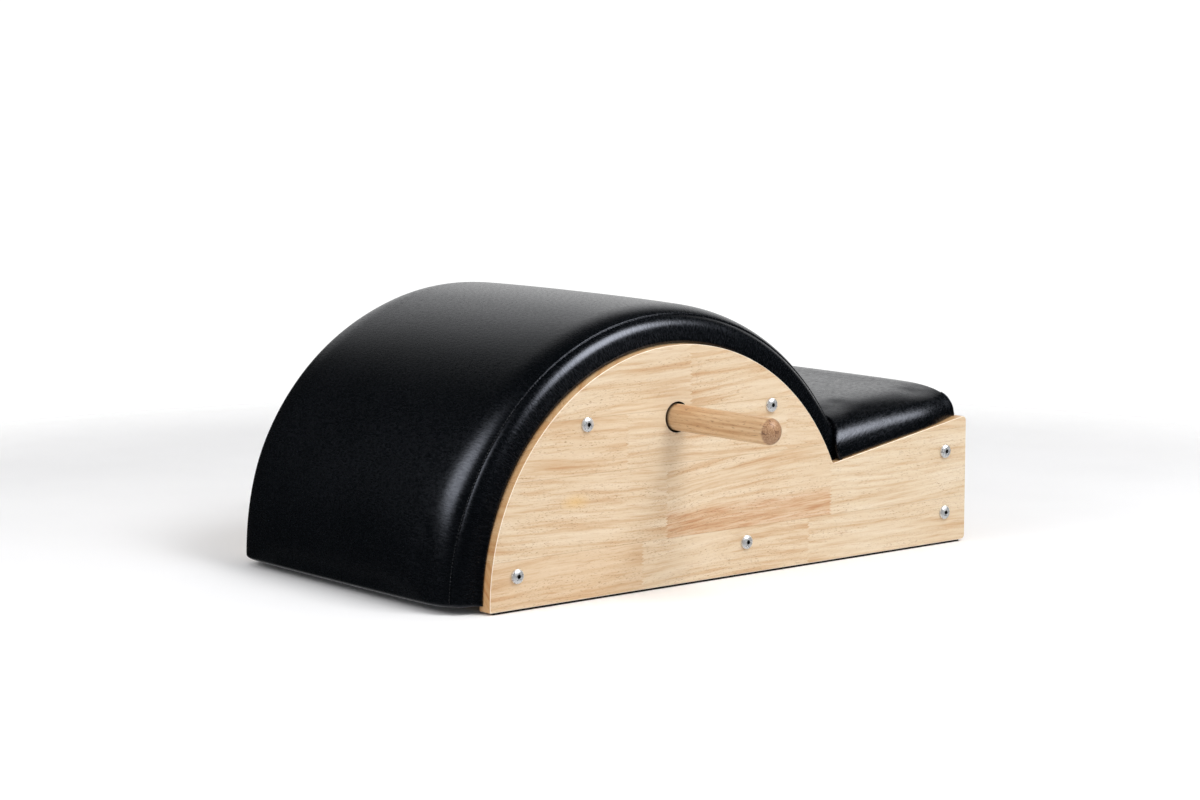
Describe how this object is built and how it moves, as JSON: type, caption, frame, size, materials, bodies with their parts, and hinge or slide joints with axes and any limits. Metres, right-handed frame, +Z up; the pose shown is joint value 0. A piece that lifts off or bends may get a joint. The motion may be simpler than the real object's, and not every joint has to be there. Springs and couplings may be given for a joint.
{
  "type": "pilates spine corrector",
  "caption": "Upholstered half barrel with a low sloping seat behind it, between two solid wood side panels, with a push-in dowel handle on each side.",
  "frame": {"origin": "centre of the footprint on the floor, under the middle of the bounding box", "axes": "+X from the barrel to the seat end, +Z up, -Y the near side panel in the picture"},
  "size_m": [0.8483, 0.854, 0.3483],
  "materials": {
    "rubberwood": "finger-jointed rubberwood, clear satin lacquer",
    "dowel_wood": "turned rubberwood dowel, satin lacquer",
    "plywood": "sanded birch plywood, bare",
    "pine": "planed pine, bare",
    "vinyl": "black upholstery vinyl, satin with fine grain",
    "foam": "firm upholstery foam",
    "bolt_chrome": "polished chrome plate",
    "insert_metal": "yellow zinc plate",
    "foot_rubber": "matt anti-slip rubber strip"
  },
  "bodies": {
    "body": {"side_panel_near": "rubberwood", "side_panel_far": "rubberwood", "foot_strip_near": "foot_rubber", "foot_strip_far": "foot_rubber", "rib_near": "plywood", "rib_far": "plywood", "handle_socket_near": "pine", "handle_socket_far": "pine", "rail_front_low": "pine", "rail_arch_front": "pine", "rail_arch_rear": "pine", "rail_middle_low": "pine", "end_board": "pine", "arch_deck": "plywood", "arch_foam": "foam", "arch_cover": "vinyl", "seat_deck": "plywood", "seat_foam": "foam", "seat_cover": "vinyl", "bolt_front_low_near": "bolt_chrome", "bolt_arch_front_near": "bolt_chrome", "bolt_arch_rear_near": "bolt_chrome", "bolt_middle_low_near": "bolt_chrome", "bolt_end_low_near": "bolt_chrome", "bolt_end_high_near": "bolt_chrome", "bolt_front_low_far": "bolt_chrome", "bolt_arch_front_far": "bolt_chrome", "bolt_arch_rear_far": "bolt_chrome", "bolt_middle_low_far": "bolt_chrome", "bolt_end_low_far": "bolt_chrome", "bolt_end_high_far": "bolt_chrome", "insert_front_low_near": "insert_metal", "insert_arch_front_near": "insert_metal", "insert_arch_rear_near": "insert_metal", "insert_middle_low_near": "insert_metal", "insert_end_low_near": "insert_metal", "insert_end_high_near": "insert_metal", "insert_front_low_far": "insert_metal", "insert_arch_front_far": "insert_metal", "insert_arch_rear_far": "insert_metal", "insert_middle_low_far": "insert_metal", "insert_end_low_far": "insert_metal", "insert_end_high_far": "insert_metal"},
    "handle_near": {"handle_near": "dowel_wood"},
    "handle_far": {"handle_far": "dowel_wood"}
  },
  "joints": [
    {"name": "handle_near_pull", "type": "slide", "parent": "body", "child": "handle_near", "axis": [0, -1, 0], "range_m": [0, 0.09]},
    {"name": "handle_far_pull", "type": "slide", "parent": "body", "child": "handle_far", "axis": [0, 1, 0], "range_m": [0, 0.09]}
  ]
}
